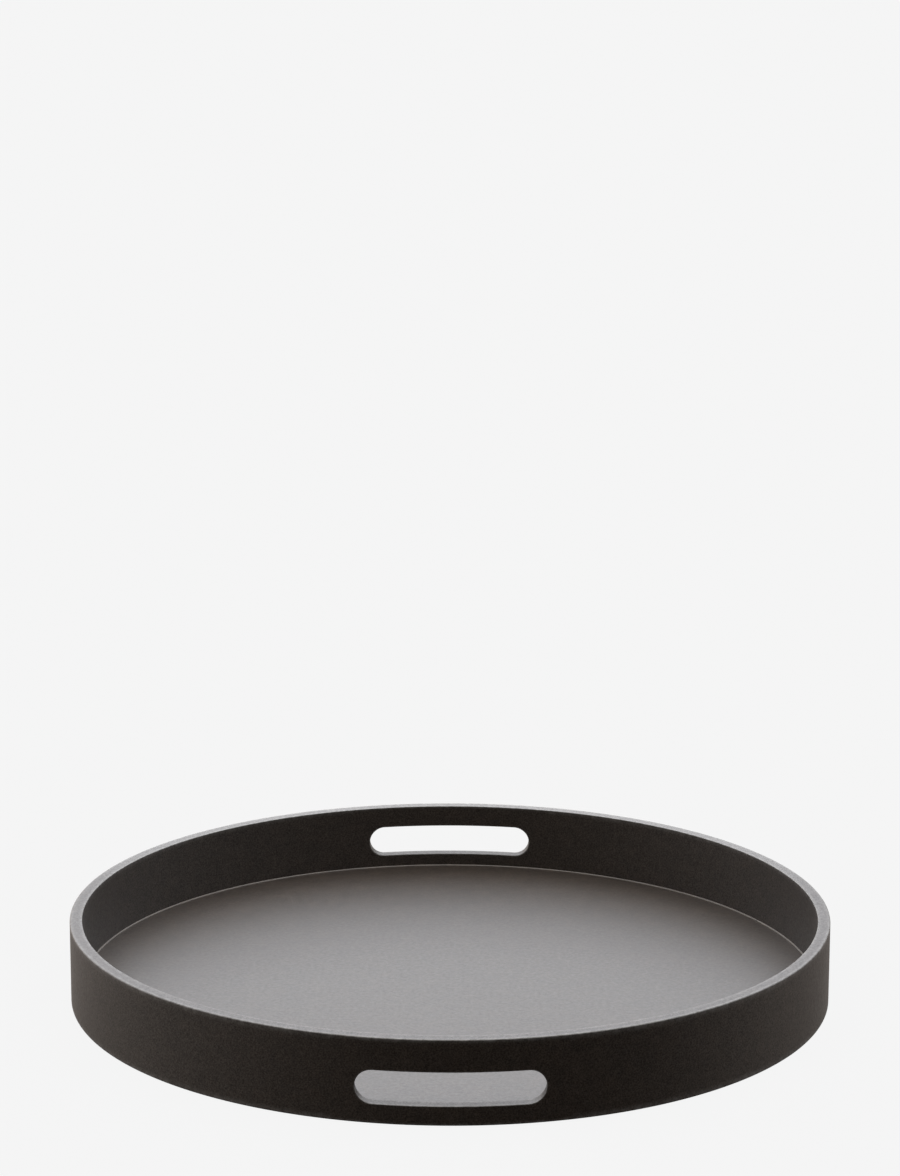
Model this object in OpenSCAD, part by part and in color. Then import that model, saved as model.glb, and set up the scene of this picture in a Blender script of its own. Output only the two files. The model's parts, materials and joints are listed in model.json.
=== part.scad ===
// Round serving tray: a laminated hoop with two hand slots round a flat, recessed base.
// +Z is up, +Y points to the rear slot. The origin is on the table under the tray's centre.

/* [Hoop] */
// Outside diameter of the hoop
tray_d = 460; // [360:10:600]
// Height of the hoop
wall_h = 50; // [45:1:80]
// Thickness of one ply of the hoop
ply_t = 2.5; // [2:0.1:4]
// Radius of the eased outer edges of the hoop
outer_edge_r = 0.8; // [0.3:0.1:1.8]
// Radius of the eased inner edge of the rim
inner_edge_r = 0.4; // [0.2:0.1:1.8]

/* [Hand slots] */
// Length of a slot from end to end
slot_w = 106; // [80:1:130]
// Height of a slot's opening
slot_h = 19.5; // [14:0.5:22]
// Height of the front slot's centre above the hoop's lower edge
front_slot_z = 21.2; // [21:0.1:31]
// Height of the rear slot's centre above the hoop's lower edge
rear_slot_z = 26.7; // [21:0.1:31]

/* [Base] */
// Depth of the recess under the base
recess_h = 2; // [1:0.1:3]
// Thickness of the backing sheet under the base board
backing_t = 0.7; // [0.4:0.1:1]
// Thickness of the base board
panel_t = 4.8; // [3.5:0.1:5.5]
// Thickness of the sheet on the floor
sheet_t = 1.2; // [0.6:0.1:1.4]
// Radius of the quarter-round bead between the floor and the wall
bead_r = 0.8; // [0.6:0.1:2]
// Bearing of the bead's butt joint, counted from +X
bead_joint_at = 28; // [0:1:359]

/* [Brads] */
// Number of brads that hold the base in the hoop
pin_count = 12; // [6:1:16]
// Diameter of a brad
pin_d = 1.2; // [0.8:0.1:1.8]
// Length of a brad
pin_l = 20; // [14:1:30]

/* [Feet] */
// Diameter of a foot
foot_d = 14; // [8:1:24]
// How far the feet stand out below the hoop
foot_proud = 0.5; // [0.2:0.1:2]
// Distance of each foot's centre from the edge of the base
foot_inset = 35; // [15:1:80]

/* [Hidden] */

$fn = 180;
// How far a cutter runs past what it cuts
overshoot = 2;
eps = 0.01;

// Radii of the faces between the plies, from the outside in
outer_r = tray_d / 2;
core_r = outer_r - ply_t;
rebate_r = outer_r - 2 * ply_t;
inner_r = outer_r - 3 * ply_t;

// Levels above the table
hoop_z = foot_proud;
rim_z = hoop_z + wall_h;
backing_z = hoop_z + recess_h;
panel_z = backing_z + backing_t;
sheet_z = panel_z + panel_t;
floor_z = sheet_z + sheet_t;

// The two ends of each ply meet in a butt joint, and the three joints are staggered round the hoop
ply_joint_gap = 0.2;
outer_joint_at = 150;
core_joint_at = 30;
inner_joint_at = 210;

// The brads run along radii at half the board's thickness, their ends filled over in the outer ply
pin_cover = 0.8;
pin_z = panel_z + panel_t / 2;
pin_step = 360 / pin_count;
pin_outer_end = outer_r - pin_cover;

bead_joint_gap = 0.5;
foot_at_r = rebate_r - foot_inset;
foot_edge_r = 0.8;

hoop_colour = [0.11, 0.10, 0.09];
floor_colour = [0.30, 0.29, 0.28];
board_colour = [0.55, 0.42, 0.28];
steel_colour = [0.65, 0.66, 0.68];
rubber_colour = [0.05, 0.05, 0.05];

// What is cut off a square corner to ease it; the corner's point is at the origin,
// and its two faces run along -X and -Y
module corner_waste(r) {
    difference() {
        translate([-r, -r]) square(r + eps);
        translate([-r, -r]) circle(r);
    }
}

// Closed ring of one ply between two radii; its outer edges and its inner top edge are eased on request
module ply_ring(r_in, r_out, z_low, ease_outer, ease_inner) {
    rotate_extrude() difference() {
        translate([r_in, z_low]) square([r_out - r_in, rim_z - z_low]);
        if (ease_outer) {
            translate([r_out, rim_z]) corner_waste(outer_edge_r);
            translate([r_out, z_low]) mirror([0, 1]) corner_waste(outer_edge_r);
        }
        if (ease_inner)
            translate([r_in, rim_z]) mirror([1, 0]) corner_waste(inner_edge_r);
    }
}

// Stadium-shaped hand slot through the hoop, on the +Y side (side = 1) or the -Y side (side = -1)
module hand_slot(side, z_above_edge) {
    reach = outer_r - sqrt(inner_r * inner_r - slot_w * slot_w / 4);
    translate([0, side * (outer_r - reach / 2), hoop_z + z_above_edge])
        rotate([90, 0, 0])
            linear_extrude(height = reach + 2 * overshoot, center = true) {
                square([slot_w - slot_h, slot_h], center = true);
                for (end = [-1, 1])
                    translate([end * (slot_w - slot_h) / 2, 0]) circle(d = slot_h);
            }
}

module both_hand_slots() {
    hand_slot(-1, front_slot_z);
    hand_slot(1, rear_slot_z);
}

// Joint line where the two ends of a ply meet, at a bearing counted from +X
module ply_joint(bearing) {
    rotate([0, 0, bearing])
        translate([outer_r, 0, rim_z / 2])
            cube([8 * ply_t, ply_joint_gap, 2 * rim_z], center = true);
}

// All the brads; as solids, and again as the holes that they sit in
module brads() {
    for (i = [0 : pin_count - 1])
        rotate([0, 0, (i + 0.5) * pin_step])
            translate([pin_outer_end - pin_l, 0, pin_z])
                rotate([0, 90, 0]) cylinder(h = pin_l, d = pin_d, $fn = 24);
}

module wall_outer_ply() {
    color(hoop_colour) difference() {
        ply_ring(core_r, outer_r, hoop_z, true, false);
        both_hand_slots();
        ply_joint(outer_joint_at);
        brads();
    }
}

module wall_core_ply() {
    color(hoop_colour) difference() {
        ply_ring(rebate_r, core_r, hoop_z, false, false);
        both_hand_slots();
        ply_joint(core_joint_at);
        brads();
    }
}

// The inner ply stops on the base board, so that the two outer plies form a rebate for it
module wall_inner_ply() {
    color(hoop_colour) difference() {
        ply_ring(inner_r, rebate_r, sheet_z, false, true);
        both_hand_slots();
        ply_joint(inner_joint_at);
    }
}

module base_panel() {
    color(board_colour) difference() {
        translate([0, 0, panel_z]) cylinder(h = panel_t, r = rebate_r);
        brads();
    }
}

// The sheet stops at the bead, which hides its cut edge
module floor_sheet() {
    color(floor_colour) translate([0, 0, sheet_z]) cylinder(h = sheet_t, r = inner_r - bead_r);
}

// Bead between the sheet and the wall, bent from one length; its top is a quarter round
module floor_edge_bead() {
    color(floor_colour) difference() {
        rotate_extrude() {
            translate([inner_r - bead_r, sheet_z]) square([bead_r, sheet_t]);
            intersection() {
                translate([inner_r - bead_r, floor_z]) square(bead_r);
                translate([inner_r, floor_z]) circle(bead_r);
            }
        }
        rotate([0, 0, bead_joint_at])
            translate([inner_r, 0, floor_z])
                cube([4 * bead_r, bead_joint_gap, 4 * bead_r], center = true);
    }
}

module base_backing() {
    color(hoop_colour) translate([0, 0, backing_z]) cylinder(h = backing_t, r = rebate_r);
}

module base_pins() {
    color(steel_colour) brads();
}

// Bumper foot stuck to the backing sheet, at a bearing counted from +X
module foot(bearing) {
    color(rubber_colour) rotate([0, 0, bearing]) translate([foot_at_r, 0, 0])
        rotate_extrude() difference() {
            square([foot_d / 2, backing_z]);
            translate([foot_d / 2, 0]) mirror([0, 1]) corner_waste(foot_edge_r);
        }
}

module foot_front_left() { foot(225); }
module foot_front_right() { foot(315); }
module foot_rear_left() { foot(135); }
module foot_rear_right() { foot(45); }

wall_outer_ply();
wall_core_ply();
wall_inner_ply();
base_panel();
floor_sheet();
floor_edge_bead();
base_backing();
base_pins();
foot_front_left();
foot_front_right();
foot_rear_left();
foot_rear_right();
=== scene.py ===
"""Looks of a round serving tray: a satin black laminated hoop with two hand slots round a flat floor."""

import json
import math

import bmesh
import bpy
from mathutils import Matrix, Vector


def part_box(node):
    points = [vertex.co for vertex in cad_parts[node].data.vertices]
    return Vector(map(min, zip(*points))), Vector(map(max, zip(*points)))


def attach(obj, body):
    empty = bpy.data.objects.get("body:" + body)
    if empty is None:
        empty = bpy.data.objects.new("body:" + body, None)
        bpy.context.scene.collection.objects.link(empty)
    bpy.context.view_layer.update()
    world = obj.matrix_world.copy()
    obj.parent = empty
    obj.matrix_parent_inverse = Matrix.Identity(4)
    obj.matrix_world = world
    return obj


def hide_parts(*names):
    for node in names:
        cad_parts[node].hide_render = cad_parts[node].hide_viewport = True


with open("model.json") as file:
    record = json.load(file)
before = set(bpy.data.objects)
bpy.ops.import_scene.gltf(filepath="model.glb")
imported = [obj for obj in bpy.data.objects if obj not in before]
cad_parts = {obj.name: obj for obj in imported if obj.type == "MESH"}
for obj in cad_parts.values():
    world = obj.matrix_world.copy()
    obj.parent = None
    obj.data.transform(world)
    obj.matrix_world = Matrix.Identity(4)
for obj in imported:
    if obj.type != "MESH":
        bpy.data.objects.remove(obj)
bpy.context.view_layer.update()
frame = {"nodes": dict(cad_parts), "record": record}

MM = 0.001

# ---------------------------------------------------------------- places, from the frame


def reach(node):
    """Outer radius of a round node about the tray's axis, to a tenth of a millimetre."""
    return round(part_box(node)[1].x, 4)


def top(node):
    return round(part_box(node)[1].z, 5)


def bottom(node):
    return round(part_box(node)[0].z, 5)


OUTER_R = reach("wall_outer_ply")
CORE_R = reach("wall_core_ply")
REBATE_R = reach("base_backing")
INNER_R = reach("floor_edge_bead")
SHEET_R = reach("floor_sheet")
HOOP_Z = bottom("wall_outer_ply")
RIM_Z = top("wall_outer_ply")
SHEET_Z = bottom("floor_sheet")
FLOOR_Z = top("floor_sheet")
BEAD_R = INNER_R - SHEET_R

# Hand slots: the length and height of the stadium, and the height of its centre at each side
SLOT_W = 106 * MM
SLOT_H = 19.5 * MM
SLOT_R = SLOT_H / 2
SLOT_STRAIGHT = SLOT_W - SLOT_H
OPENINGS = {o["name"]: o["box_m"] for o in frame["record"]["physics"]["openings"]}
SLOT_Z = {
    side: (OPENINGS[name][0][2] + OPENINGS[name][1][2]) / 2
    for side, name in ((-1, "front_hand_slot"), (1, "rear_hand_slot"))
}

OUTER_EDGE_R = 0.8 * MM    # eased outer edges of the hoop, as in the CAD
INNER_EDGE_R = 0.4 * MM    # eased inner edge of the rim, as in the CAD
SLOT_EDGE_R = 0.4 * MM     # eased edges of the slots
BEAD_JOINT = math.radians(28)
BEAD_JOINT_GAP = 0.5 * MM

# ---------------------------------------------------------------- fineness of the meshes

ARC_STEPS = 8              # steps in an eighth of a slot's outline circle
STRAIGHT_STEPS = 32        # steps along a slot's straight side
EASE_STEPS = 6             # steps across an eased edge
PATCH_LOOPS = 14           # loops between a slot and its window in the grid
PATCH_CROWDING = 1.4       # how much closer together those loops lie near the slot
PLAIN_COLUMNS = 200        # columns between the two windows on each side of the hoop
WINDOW = math.radians(17)  # half the angle that a slot's window takes
ROWS = 2 * ARC_STEPS
LATHE_STEPS = 384          # steps round the floor and the backing; the bead has twice as many
DISC_RINGS = 12
FOOT_STEPS = 64
FLAG_STEPS = 24            # steps along the card within the rear slot
RIM_CARD_STEPS = 48        # steps along the strip behind the rear rim
WELD = 1e-7                # corners closer than this are one
SMOOTH_ANGLE = 35          # degrees between faces, above which an edge is sharp


class Skin:
    """Faces given by corner points. Corners at one place are welded, so lofts that share a line join.

    Each corner has two marks for the finish, from 0 to 1: one for wear where hands rub that also paints a
    highlight on the eased edges, dull where it shines less.
    """

    def __init__(self):
        self.index = {}
        self.points = []
        self.wear_highlight_mark = []
        self.dull = []
        self.faces = []

    def corner(self, point, wear_highlight_mark, dull):
        key = tuple(round(c / WELD) for c in point)
        if key not in self.index:
            self.index[key] = len(self.points)
            self.points.append(tuple(point))
            self.wear_highlight_mark.append(0.0)
            self.dull.append(0.0)
        i = self.index[key]
        self.wear_highlight_mark[i] = max(self.wear_highlight_mark[i], wear_highlight_mark)
        self.dull[i] = max(self.dull[i], dull)
        return i

    def face(self, points, wear_highlight_mark=0.0, dull=0.0):
        corners = []
        for p in points:
            i = self.corner(p, wear_highlight_mark, dull)
            if i not in corners:
                corners.append(i)
        if len(corners) > 2:
            self.faces.append(corners)

    def loft(self, loops, closed=True, wear_highlight_mark=0.0, dull=0.0):
        """Four-sided faces between each loop of points and the next."""
        for a, b in zip(loops, loops[1:]):
            n = len(a)
            for i in range(n if closed else n - 1):
                j = (i + 1) % n
                self.face([a[i], a[j], b[j], b[i]], wear_highlight_mark, dull)

    def piece(self, name, material, body, replaces, sharp_angle=SMOOTH_ANGLE):
        """The faces as an object with outward normals and smooth shading but for its sharp edges."""
        mesh = bpy.data.meshes.new(name)
        mesh.from_pydata(self.points, [], self.faces)
        # the first mark lightens the eased edges: partly wear, partly a painted highlight
        for attribute, values in (("edge_wear_and_painted_highlight", self.wear_highlight_mark), ("dullness", self.dull)):
            mesh.attributes.new(attribute, "FLOAT", "POINT").data.foreach_set("value", values)
        bm = bmesh.new()
        bm.from_mesh(mesh)
        bmesh.ops.recalc_face_normals(bm, faces=bm.faces)
        for f in bm.faces:
            f.smooth = True
        for e in bm.edges:
            e.smooth = len(e.link_faces) == 2 and e.calc_face_angle() < math.radians(sharp_angle)
        bm.to_mesh(mesh)
        bm.free()
        obj = bpy.data.objects.new(name, mesh)
        bpy.context.scene.collection.objects.link(obj)
        even = obj.modifiers.new("even_shading", "WEIGHTED_NORMAL")
        even.keep_sharp = True
        mesh.materials.append(material)
        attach(obj, body)
        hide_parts(*replaces)


def spaced(a, b, steps):
    return [a + (b - a) * i / steps for i in range(steps + 1)]


def ease():
    """Steps round an edge eased to a radius of 1: (distance from one face, from the other)."""
    return [(1 - math.cos(t), 1 - math.sin(t)) for t in spaced(0, math.pi / 2, EASE_STEPS)]


def lathe_loop(r, z, steps=LATHE_STEPS):
    return [(r * math.cos(t), r * math.sin(t), z) for t in spaced(0, 2 * math.pi, steps)[:-1]]


# ---------------------------------------------------------------- the hoop's plies


def window_columns():
    """Bearings of the columns across a slot's window, from its middle, in line with the slot's own points."""
    edge = math.asin(SLOT_STRAIGHT / 2 / OUTER_R)
    left = spaced(-WINDOW, -edge, ARC_STEPS)[:-1]
    middle = [math.asin(x / OUTER_R) for x in spaced(-SLOT_STRAIGHT / 2, SLOT_STRAIGHT / 2, STRAIGHT_STEPS)]
    right = spaced(edge, WINDOW, ARC_STEPS)[1:]
    return left + middle + right


def hoop_columns():
    """Bearings of the hoop's columns, from +Y towards +X: rear window, right side, front window, left."""
    window = window_columns()
    plain = spaced(WINDOW, math.pi - WINDOW, PLAIN_COLUMNS)[1:-1]
    return (
        window
        + plain
        + [math.pi + t for t in window]
        + [math.pi + t for t in plain]
    )


COLUMNS = hoop_columns()


def on_hoop(r, bearing, z):
    return (r * math.sin(bearing), r * math.cos(bearing), z)


def hoop_loop(r, z):
    return [on_hoop(r, t, z) for t in COLUMNS]


def slot_outline(side, grow):
    """Points (x, z) round a slot grown by grow, in the window's own order: top, +x end, bottom, -x end."""
    r, half, z = SLOT_R + grow, SLOT_STRAIGHT / 2, SLOT_Z[side]

    def end(sign, a, b, steps):
        return [
            (sign * half + r * math.cos(t), z + r * math.sin(t))
            for t in spaced(math.radians(a), math.radians(b), steps)
        ]

    top_side = [(x, z + r) for x in spaced(-half, half, STRAIGHT_STEPS)]
    low_side = [(x, z - r) for x in spaced(half, -half, STRAIGHT_STEPS)]
    return (
        end(-1, 135, 90, ARC_STEPS)[:-1]
        + top_side
        + end(1, 90, -90, 4 * ARC_STEPS)[1:-1]
        + low_side
        + end(-1, -90, -225, 3 * ARC_STEPS)[1:-1]
    )


def window_outline(low, high):
    """Points (bearing, z) round the window, in the order of slot_outline."""
    window, levels = window_columns(), spaced(low, high, ROWS)
    return (
        [(t, high) for t in window]
        + [(window[-1], z) for z in reversed(levels[:-1])]
        + [(t, low) for t in reversed(window[:-1])]
        + [(window[0], z) for z in levels[1:-1]]
    )


def face_with_slots(skin, r, low, high, grow):
    """The hoop's cylinder of radius r from low to high, with both slots cut out, grown by grow."""
    levels = spaced(low, high, ROWS)
    n = len(window_columns())
    for start in (n - 1, 2 * n - 1 + PLAIN_COLUMNS - 1):
        bearings = [COLUMNS[(start + i) % len(COLUMNS)] for i in range(PLAIN_COLUMNS + 1)]
        skin.loft([[on_hoop(r, t, z) for t in bearings] for z in levels], closed=False)
    for side in (1, -1):
        turn = 0 if side == 1 else math.pi
        inside = [(math.asin(x / r), z) for x, z in slot_outline(side, grow)]
        outside = window_outline(low, high)
        loops = []
        for k in range(PATCH_LOOPS + 1):
            share = (k / PATCH_LOOPS) ** PATCH_CROWDING
            loops.append(
                [
                    on_hoop(r, turn + t + share * (u - t), z + share * (w - z))
                    for (t, z), (u, w) in zip(inside, outside)
                ]
            )
        skin.loft(loops)


def slot_wall(skin, r_in, r_out, ease_in, ease_out):
    """The wall of both slots through one ply, eased where the ply's face is the hoop's own."""
    for side in (1, -1):

        def loop(r, depth, grow):
            return [
                (side * x, side * (math.sqrt(r * r - x * x) - depth), z)
                for x, z in slot_outline(side, grow)
            ]

        outer = [(0, 0)]
        # eased slot edges carry the mark for wear and a painted highlight
        if ease_out:
            outer = [(SLOT_EDGE_R * d, SLOT_EDGE_R * g) for g, d in reversed(ease())]
            skin.loft([loop(r_out, d, g) for d, g in outer], wear_highlight_mark=1.0)
        inner = [(0, 0)]
        if ease_in:
            inner = [(-SLOT_EDGE_R * d, SLOT_EDGE_R * g) for g, d in ease()]
            skin.loft([loop(r_in, d, g) for d, g in inner], wear_highlight_mark=1.0)
        skin.loft([loop(r_out, *outer[-1]), loop(r_in, *inner[0])], dull=1.0)


def ply(name, r_in, r_out, low, body, material, slot, ease_outer=False, ease_inner=False):
    """One ply of the hoop as a closed skin; a face that shows has its edges eased."""
    skin = Skin()
    high = RIM_Z
    cut = OUTER_EDGE_R if ease_outer else 0
    face_with_slots(skin, r_out, low + cut, high - cut, SLOT_EDGE_R if ease_outer else 0)
    cut_in = INNER_EDGE_R if ease_inner else 0
    face_with_slots(skin, r_in, low, high - cut_in, SLOT_EDGE_R if ease_inner else 0)
    slot_wall(skin, r_in, r_out, ease_inner, ease_outer)
    # eased rim and foot edges carry the mark for wear and a painted highlight
    if ease_outer:
        skin.loft([hoop_loop(r_out - cut * g, high - cut * d) for g, d in ease()], wear_highlight_mark=1.0)
        skin.loft([hoop_loop(r_out - cut * g, low + cut * d) for g, d in ease()], wear_highlight_mark=1.0)
    if ease_inner:
        skin.loft([hoop_loop(r_in + cut_in * g, high - cut_in * d) for g, d in ease()], wear_highlight_mark=1.0)
    skin.loft([hoop_loop(r_out - cut, high), hoop_loop(r_in + cut_in, high)])
    skin.loft([hoop_loop(r_out - cut, low), hoop_loop(r_in, low)])
    skin.piece(name, material, body, [name.replace("hoop", "wall")])


# ---------------------------------------------------------------- base, bead and feet


def disc(name, r, low, high, material, replaces):
    """A flat round sheet of radius r, both sides in rings of faces."""
    skin = Skin()
    for z in (low, high):
        loops = [lathe_loop(r * (k + 1) / DISC_RINGS, z) for k in range(DISC_RINGS)]
        skin.loft(loops)
        for i in range(LATHE_STEPS):
            skin.face([(0, 0, z), loops[0][i], loops[0][(i + 1) % LATHE_STEPS]])
    skin.loft([lathe_loop(r, low), lathe_loop(r, high)])
    skin.piece(name, material, "root", replaces)


def edge_bead(material):
    """The bead as one bent length with two cut ends: a block beside the sheet, under a quarter round."""
    section = [(INNER_R, SHEET_Z), (SHEET_R, SHEET_Z), (SHEET_R, FLOOR_Z)]
    section += [
        (INNER_R - BEAD_R * math.cos(t), FLOOR_Z + BEAD_R * math.sin(t))
        for t in spaced(0, math.pi / 2, EASE_STEPS)[1:]
    ]
    half_gap = BEAD_JOINT_GAP / 2 / INNER_R
    bearings = spaced(BEAD_JOINT + half_gap, BEAD_JOINT + 2 * math.pi - half_gap, 2 * LATHE_STEPS)
    loops = [[(r * math.cos(t), r * math.sin(t), z) for r, z in section] for t in bearings]
    skin = Skin()
    skin.loft(loops)
    skin.face(loops[0])
    skin.face(loops[-1])
    skin.piece("edge_bead", material, "root", ["floor_edge_bead"])


def foot(name, material):
    """A moulded bumper foot: tapered, eased at its tread, with a shallow dimple in the middle."""
    low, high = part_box(name)
    centre = (low + high) / 2
    r, h = (high.x - low.x) / 2, high.z - low.z
    shoulder_r, shoulder_h = 0.99 * r, 0.7 * h
    tread_r, tread_ease = 0.92 * r, 0.8 * MM
    dimple_r, dimple_depth, lip_w, lip_depth = 0.3 * r, 0.3 * MM, 0.4 * MM, 0.1 * MM
    dimple_floor_r = 0.6 * dimple_r
    profile = [(r, h), (shoulder_r, shoulder_h)]
    profile += [(tread_r - tread_ease * g, tread_ease * d) for g, d in ease()]
    profile += [(dimple_r + lip_w, 0), (dimple_r, lip_depth), (dimple_floor_r, dimple_depth)]
    skin = Skin()
    loops = [
        [(centre.x + a, centre.y + b, low.z + z) for a, b, _ in lathe_loop(radius, 0, FOOT_STEPS)]
        for radius, z in profile
    ]
    skin.loft(loops)
    for loop, z in ((loops[0], h), (loops[-1], dimple_depth)):
        middle = (centre.x, centre.y, low.z + z)
        for i in range(FOOT_STEPS):
            skin.face([middle, loop[i], loop[(i + 1) % FOOT_STEPS]])
    skin.piece("bumper_" + name, material, "root", [name], sharp_angle=50)


# ---------------------------------------------------------------- materials


class Recipe:
    """A material's node tree, with short ways to add the nodes that these finishes need."""

    def __init__(self, name):
        self.material = bpy.data.materials.new(name)
        self.material.use_nodes = True
        self.nodes = self.material.node_tree.nodes
        self.links = self.material.node_tree.links
        self.shader = self.nodes["Principled BSDF"]
        self.place = self.nodes.new("ShaderNodeTexCoord").outputs["Object"]

    def set(self, **sockets):
        for name, value in sockets.items():
            self.shader.inputs[name.replace("_", " ")].default_value = value

    def link(self, out, socket):
        self.links.new(out, self.shader.inputs[socket])

    def noise(self, scale, detail, stretch=(1, 1, 1)):
        """Noise whose features are about 1 / scale metres across."""
        spread = self.nodes.new("ShaderNodeMapping")
        spread.inputs["Scale"].default_value = stretch
        self.links.new(self.place, spread.inputs["Vector"])
        node = self.nodes.new("ShaderNodeTexNoise")
        node.inputs["Scale"].default_value = scale
        node.inputs["Detail"].default_value = detail
        self.links.new(spread.outputs["Vector"], node.inputs["Vector"])
        return node.outputs["Fac"]

    def spread(self, noise, to_low, to_high):
        """The range where most of a noise's values lie, mapped to two values."""
        return self.remap(noise, 0.3, 0.7, to_low, to_high)

    def remap(self, value, low, high, to_low, to_high):
        node = self.nodes.new("ShaderNodeMapRange")
        for name, number in (("From Min", low), ("From Max", high), ("To Min", to_low), ("To Max", to_high)):
            node.inputs[name].default_value = number
        self.links.new(value, node.inputs["Value"])
        return node.outputs["Result"]

    def maths(self, operation, a, b):
        node = self.nodes.new("ShaderNodeMath")
        node.operation = operation
        for socket, value in zip(node.inputs, (a, b)):
            if isinstance(value, (int, float)):
                socket.default_value = value
            else:
                self.links.new(value, socket)
        return node.outputs["Value"]

    def blend(self, share, a, b):
        node = self.nodes.new("ShaderNodeMix")
        node.data_type = "RGBA"
        self.links.new(share, node.inputs["Factor"])
        for socket, value in ((node.inputs["A"], a), (node.inputs["B"], b)):
            if isinstance(value, tuple):
                socket.default_value = (*value, 1)
            else:
                self.links.new(value, socket)
        return node.outputs["Result"]

    def scale(self, colour, factor):
        node = self.nodes.new("ShaderNodeVectorMath")
        node.operation = "SCALE"
        self.links.new(colour, node.inputs[0])
        self.links.new(factor, node.inputs["Scale"])
        return node.outputs["Vector"]

    def bump(self, height, strength, distance, before=None):
        node = self.nodes.new("ShaderNodeBump")
        node.inputs["Strength"].default_value = strength
        node.inputs["Distance"].default_value = distance
        self.links.new(height, node.inputs["Height"])
        if before is not None:
            self.links.new(before, node.inputs["Normal"])
        return node.outputs["Normal"]

    def attribute(self, name):
        node = self.nodes.new("ShaderNodeAttribute")
        node.attribute_name = name
        return node.outputs["Fac"]


EDGE_WEAR_HIGHLIGHT_COLOUR = (0.07, 0.064, 0.058)    # black finish thinned by wear at its edges, lighter there also as a painted highlight
PLAIN_SHINE = 0.5                # the shader's own specular level
DULL_SHINE = 0.6                 # the share of it that the slots' walls keep

# Features per metre of the slower changes across a black finish
MOTTLE, WEAR_HIGHLIGHT_PATCHES, SHEEN_PATCHES, WAVES = 140, 260, 420, 90


def shade(colour, factor):
    return tuple(c * factor for c in colour)


def satin_black(name, tone, roughness, grain_size, grain_depth, speckle, gleam):
    """Satin black finish: a fine grain, faint mottling, specks in colour and shine, edges lightened by wear
    and by a painted highlight.
    """
    m = Recipe(name)
    m.set(IOR=1.5)
    mottle = m.blend(m.remap(m.noise(MOTTLE, 4), 0.35, 0.65, 0, 1), shade(tone, 0.85), shade(tone, 1.15))
    speck = m.noise(0.8 / grain_size, 2)
    specks = m.spread(speck, 1 - speckle, 1 + speckle)
    shine = m.spread(speck, PLAIN_SHINE - gleam, PLAIN_SHINE + gleam)
    kept = m.remap(m.attribute("dullness"), 0, 1, 1, DULL_SHINE)
    m.link(m.maths("MULTIPLY", shine, kept), "Specular IOR Level")
    # lighter eased edges in patches: partly wear, partly a painted highlight
    patches = m.remap(m.noise(WEAR_HIGHLIGHT_PATCHES, 3), 0.42, 0.7, 0.3, 1.0)
    edge_wear_highlight_share = m.maths("MULTIPLY", m.attribute("edge_wear_and_painted_highlight"), patches)
    m.link(m.blend(edge_wear_highlight_share, m.scale(mottle, specks), EDGE_WEAR_HIGHLIGHT_COLOUR), "Base Color")
    m.link(m.spread(m.noise(SHEEN_PATCHES, 2), roughness - 0.04, roughness + 0.04), "Roughness")
    wavy = m.bump(m.noise(WAVES, 1), 0.15, 0.05 * MM)
    m.link(m.bump(m.noise(1 / grain_size, 2), 0.5, grain_depth, wavy), "Normal")
    return m.material


def board():
    m = Recipe("bare_board")
    m.set(Roughness=0.7)
    grain = m.noise(60, 5, (1, 12, 12))
    m.link(m.blend(m.spread(grain, 0, 1), (0.42, 0.29, 0.17), (0.58, 0.44, 0.28)), "Base Color")
    m.link(m.bump(grain, 0.3, 0.2 * MM), "Normal")
    return m.material


def steel():
    m = Recipe("pin_steel")
    m.set(Metallic=1.0)
    drawn = m.noise(900, 2, (1, 1, 8))
    m.link(m.blend(m.spread(drawn, 0, 1), (0.50, 0.50, 0.52), (0.66, 0.66, 0.68)), "Base Color")
    m.link(m.spread(drawn, 0.25, 0.4), "Roughness")
    return m.material


def rubber():
    m = Recipe("foot_rubber")
    m.set(IOR=1.5)
    speck = m.noise(1500, 2)
    m.link(m.blend(m.remap(speck, 0.4, 0.7, 0, 1), (0.012, 0.012, 0.012), (0.03, 0.03, 0.03)), "Base Color")
    m.link(m.spread(speck, 0.6, 0.8), "Roughness")
    m.link(m.bump(speck, 0.4, 0.05 * MM), "Normal")
    return m.material


# ---------------------------------------------------------------- the tray

lacquer = satin_black(
    "satin_lacquer", (0.017, 0.012, 0.0085), roughness=0.45,
    grain_size=0.7 * MM, grain_depth=0.06 * MM, speckle=0.45, gleam=0.2,
)
laminate = satin_black(
    "floor_laminate", (0.019, 0.0135, 0.0095), roughness=0.45,
    grain_size=0.75 * MM, grain_depth=0.045 * MM, speckle=0.35, gleam=0.03,
)
bead_finish = satin_black(
    "bead_lacquer", (0.058, 0.046, 0.036), roughness=0.42,
    grain_size=0.65 * MM, grain_depth=0.03 * MM, speckle=0.2, gleam=0.05,
)
backing = satin_black(
    "backing_laminate", (0.015, 0.012, 0.010), roughness=0.6,
    grain_size=1.2 * MM, grain_depth=0.08 * MM, speckle=0.3, gleam=0.05,
)

hoop = dict(body="root", material=lacquer, slot="black_lacquered_hoop")
ply("hoop_outer_ply", CORE_R, OUTER_R, HOOP_Z, ease_outer=True, **hoop)
ply("hoop_core_ply", REBATE_R, CORE_R, HOOP_Z, **hoop)
ply("hoop_inner_ply", INNER_R, REBATE_R, SHEET_Z, ease_inner=True, **hoop)
disc("floor_surface", SHEET_R, SHEET_Z, FLOOR_Z, laminate, ["floor_sheet"])
edge_bead(bead_finish)
backing_low, backing_high = bottom("base_backing"), top("base_backing")
disc("backing_surface", REBATE_R, backing_low, backing_high, backing, ["base_backing"])
rubber_finish = rubber()
for corner in ("front_left", "front_right", "rear_left", "rear_right"):
    foot("foot_" + corner, rubber_finish)

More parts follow.
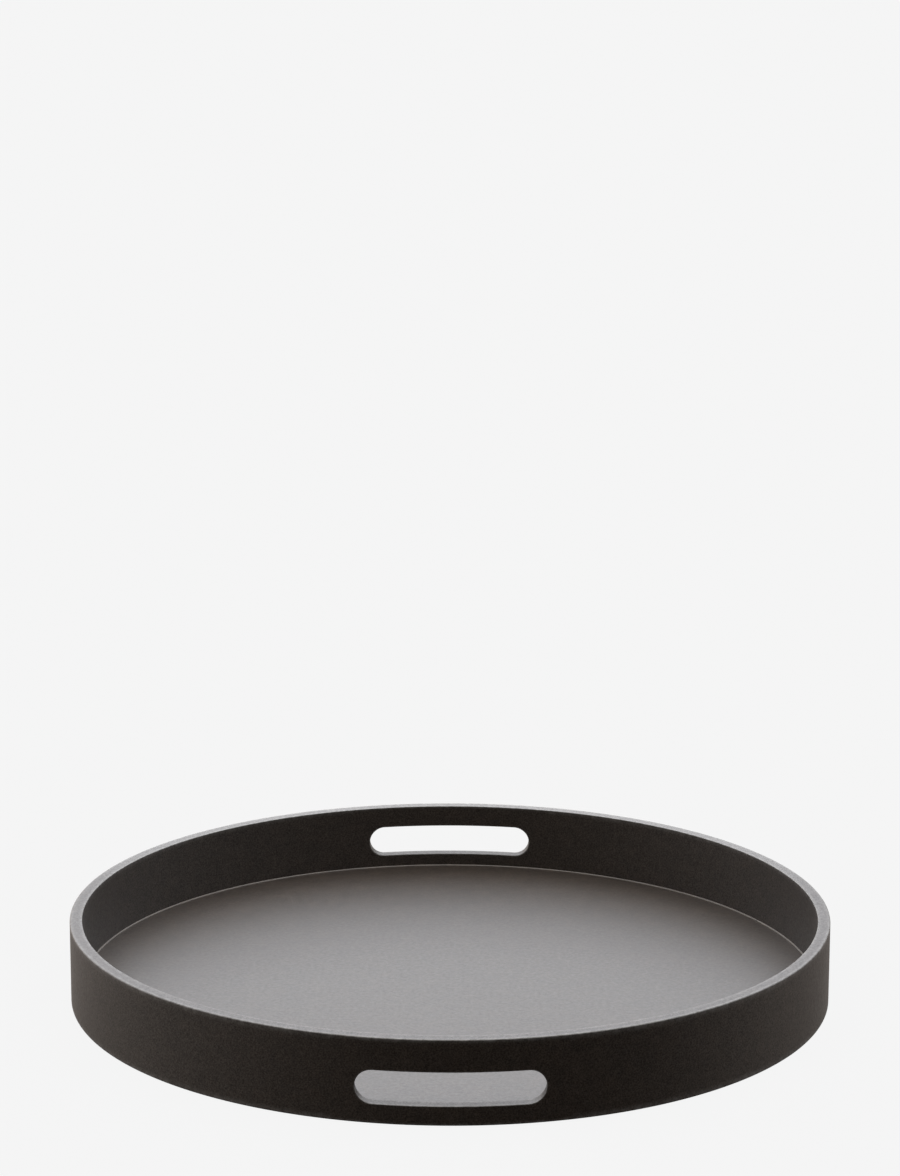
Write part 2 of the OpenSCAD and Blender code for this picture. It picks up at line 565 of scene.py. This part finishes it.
for node, material in (("base_panel", board()), ("base_pins", steel())):
    obj = frame["nodes"][node]
    obj.data.materials.clear()
    obj.data.materials.append(material)

# ---------------------------------------------------------------- floor, backdrop and light

PALE = 0.913               # luminance of the floor and the backdrop
STAGE_R = 14.0
FLOOR_SHADE = 0.006        # what the floor sends back of the light that falls on it
FLOOR_GLOW = 0.893         # the floor's own light
FLAG_GAP = 0.3 * MM        # from the hoop's inner face to the card within the rear slot
RIM_CARD_R = 0.30
RIM_CARD_SPREAD = math.radians(50)
RIM_CARD_LOW = RIM_Z + 4 * MM
RIM_CARD_HIGH = RIM_Z + 22 * MM
RIM_CARD_GLOW = 4.4


def stage_floor():
    """A pale round floor whose light is mostly its own, so that the tray's shadow on it stays faint."""
    bm = bmesh.new()
    bmesh.ops.create_circle(bm, cap_ends=True, radius=STAGE_R, segments=96)
    mesh = bpy.data.meshes.new("stage_floor")
    bm.to_mesh(mesh)
    bm.free()
    obj = bpy.data.objects.new("stage_floor", mesh)
    bpy.context.scene.collection.objects.link(obj)
    material = bpy.data.materials.new("stage_floor")
    material.use_nodes = True
    shader = material.node_tree.nodes["Principled BSDF"]
    shader.inputs["Base Color"].default_value = (FLOOR_SHADE, FLOOR_SHADE, FLOOR_SHADE, 1)
    shader.inputs["Roughness"].default_value = 1.0
    shader.inputs["Specular IOR Level"].default_value = 0.0
    shader.inputs["Emission Color"].default_value = (1, 1, 1, 1)
    shader.inputs["Emission Strength"].default_value = FLOOR_GLOW
    mesh.materials.append(material)
    for kind in ("glossy", "diffuse", "shadow"):
        setattr(obj, "visible_" + kind, False)


def backdrop():
    """A pale dome that only the camera sees, where the floor ends."""
    bm = bmesh.new()
    bmesh.ops.create_uvsphere(bm, u_segments=64, v_segments=32, radius=STAGE_R)
    bmesh.ops.delete(bm, geom=[v for v in bm.verts if v.co.z < -0.01], context="VERTS")
    mesh = bpy.data.meshes.new("backdrop")
    bm.to_mesh(mesh)
    bm.free()
    obj = bpy.data.objects.new("backdrop", mesh)
    bpy.context.scene.collection.objects.link(obj)
    material = bpy.data.materials.new("backdrop")
    material.use_nodes = True
    nodes, links = material.node_tree.nodes, material.node_tree.links
    glow = nodes.new("ShaderNodeEmission")
    glow.inputs["Color"].default_value = (PALE, PALE, PALE, 1)
    links.new(glow.outputs["Emission"], nodes["Material Output"].inputs["Surface"])
    mesh.materials.append(material)
    for kind in ("glossy", "diffuse", "transmission", "shadow", "volume_scatter"):
        setattr(obj, "visible_" + kind, False)


def slot_flag():
    """A black card within the rear slot that only light meets, so that no patch of light falls through it."""
    spread = math.asin((SLOT_W / 2 + MM) / INNER_R)
    bearings = spaced(-spread, spread, FLAG_STEPS)
    levels = (SLOT_Z[1] - SLOT_R - MM, SLOT_Z[1] + SLOT_R + MM)
    skin = Skin()
    skin.loft([[on_hoop(INNER_R + FLAG_GAP, t, z) for t in bearings] for z in levels], closed=False)
    mesh = bpy.data.meshes.new("slot_flag")
    mesh.from_pydata(skin.points, [], skin.faces)
    obj = bpy.data.objects.new("slot_flag", mesh)
    bpy.context.scene.collection.objects.link(obj)
    material = bpy.data.materials.new("slot_flag")
    material.use_nodes = True
    shader = material.node_tree.nodes["Principled BSDF"]
    shader.inputs["Base Color"].default_value = (0, 0, 0, 1)
    shader.inputs["Specular IOR Level"].default_value = 0.0
    mesh.materials.append(material)
    obj.visible_camera = False


def rim_card():
    """A glowing strip close behind the rear rim, there for the rim's gloss alone."""
    bearings = spaced(-RIM_CARD_SPREAD, RIM_CARD_SPREAD, RIM_CARD_STEPS)
    levels = (RIM_CARD_LOW, RIM_CARD_HIGH)
    skin = Skin()
    skin.loft([[on_hoop(RIM_CARD_R, t, z) for t in bearings] for z in levels], closed=False)
    mesh = bpy.data.meshes.new("rim_card")
    mesh.from_pydata(skin.points, [], skin.faces)
    obj = bpy.data.objects.new("rim_card", mesh)
    bpy.context.scene.collection.objects.link(obj)
    material = bpy.data.materials.new("rim_card")
    material.use_nodes = True
    nodes, links = material.node_tree.nodes, material.node_tree.links
    glow = nodes.new("ShaderNodeEmission")
    glow.inputs["Strength"].default_value = RIM_CARD_GLOW
    links.new(glow.outputs["Emission"], nodes["Material Output"].inputs["Surface"])
    mesh.materials.append(material)
    for kind in ("camera", "diffuse", "shadow"):
        setattr(obj, "visible_" + kind, False)


class Sky:
    """The world's light as a sum of soft banks, each with its own bearing, height and tint."""

    def __init__(self):
        world = bpy.data.worlds.new("studio")
        bpy.context.scene.world = world
        world.use_nodes = True
        self.nodes, self.links = world.node_tree.nodes, world.node_tree.links
        axes = self.nodes.new("ShaderNodeSeparateXYZ")
        self.links.new(self.nodes.new("ShaderNodeTexCoord").outputs["Generated"], axes.inputs["Vector"])
        self.height = axes.outputs["Z"]
        self.bearing = self.maths("ARCTAN2", axes.outputs["X"], axes.outputs["Y"])
        self.light = None

    def maths(self, operation, a, b=0.0):
        node = self.nodes.new("ShaderNodeMath")
        node.operation = operation
        for socket, value in zip(node.inputs, (a, b)):
            if isinstance(value, (int, float)):
                socket.default_value = value
            else:
                self.links.new(value, socket)
        return node.outputs["Value"]

    def ramp(self, value, start, end, to_start, to_end):
        node = self.nodes.new("ShaderNodeMapRange")
        node.interpolation_type = "SMOOTHSTEP"
        for name, number in (("From Min", start), ("From Max", end)):
            node.inputs[name].default_value = number
        for name, number in (("To Min", to_start), ("To Max", to_end)):
            node.inputs[name].default_value = number
        self.links.new(value, node.inputs["Value"])
        return node.outputs["Result"]

    def bank(self, light, tint, rise, fall=None, bearing=0, full=0, gone=None):
        """Light that sets in over the rise, ends over the fall and fades from full to gone, in degrees."""
        share = self.ramp(self.height, *(math.sin(math.radians(e)) for e in rise), 0.0, light)
        if fall:
            ending = self.ramp(self.height, *(math.sin(math.radians(e)) for e in fall), 1.0, 0.0)
            share = self.maths("MULTIPLY", share, ending)
        if gone:
            aside = self.maths("ABSOLUTE", self.maths("SUBTRACT", self.bearing, math.radians(bearing)))
            fading = self.ramp(aside, math.radians(full), math.radians(gone), 1.0, 0.0)
            share = self.maths("MULTIPLY", share, fading)
        colour = self.nodes.new("ShaderNodeVectorMath")
        colour.operation = "SCALE"
        colour.inputs[0].default_value = tint
        self.links.new(share, colour.inputs["Scale"])
        if self.light is None:
            self.light = colour.outputs["Vector"]
            return
        total = self.nodes.new("ShaderNodeVectorMath")
        self.links.new(self.light, total.inputs[0])
        self.links.new(colour.outputs["Vector"], total.inputs[1])
        self.light = total.outputs["Vector"]

    def finish(self):
        self.links.new(self.light, self.nodes["Background"].inputs["Color"])


def studio():
    """A cool bank behind the tray, a soft top light, and warm low light from both sides and from behind."""
    cool, warm, neutral = (0.945, 0.99, 1.07), (1.10, 0.99, 0.91), (1.0, 1.0, 1.0)
    sky = Sky()
    sky.bank(2.58, cool, rise=(10.9, 14), bearing=8, full=24, gone=161)
    sky.bank(3.9, neutral, rise=(30, 70))
    sky.bank(1.52, warm, rise=(-25, -5), fall=(0, 44), bearing=-57, gone=120)
    sky.bank(1.17, warm, rise=(-25, -5), fall=(0, 5), bearing=67, gone=63)
    sky.bank(0.22, warm, rise=(-40, -15), fall=(0, 5), bearing=8, full=15, gone=42)
    sky.finish()


stage_floor()
backdrop()
slot_flag()
rim_card()
studio()

# ---------------------------------------------------------------- camera

CAMERA_DISTANCE = 9.625 * OUTER_R
CAMERA_RISE = math.radians(19.20)    # of the camera above the table, seen from the tray's middle
CAMERA_PITCH = math.radians(12.87)   # of its aim below the horizon
CAMERA_YAW = math.radians(0.133)
CAMERA_ROLL = math.radians(0.119)
CAMERA_SIDE = -0.023 * OUTER_R
LENS = 110.26              # millimetres, with 36 mm along the picture's longer side
SENSOR = 36


def camera():
    data = bpy.data.cameras.new("camera")
    data.lens = LENS
    data.sensor_width = SENSOR
    data.clip_end = 100
    cam = bpy.data.objects.new("camera", data)
    bpy.context.scene.collection.objects.link(cam)
    cam.location = (
        CAMERA_SIDE,
        -CAMERA_DISTANCE * math.cos(CAMERA_RISE),
        CAMERA_DISTANCE * math.sin(CAMERA_RISE) + HOOP_Z,
    )
    aim = Matrix.Rotation(-CAMERA_YAW, 3, "Z") @ Matrix.Rotation(math.pi / 2 - CAMERA_PITCH, 3, "X")
    cam.rotation_euler = (aim @ Matrix.Rotation(CAMERA_ROLL, 3, "Z")).to_euler()
    bpy.context.scene.camera = cam


camera()
bpy.context.scene.view_settings.view_transform = "Standard"
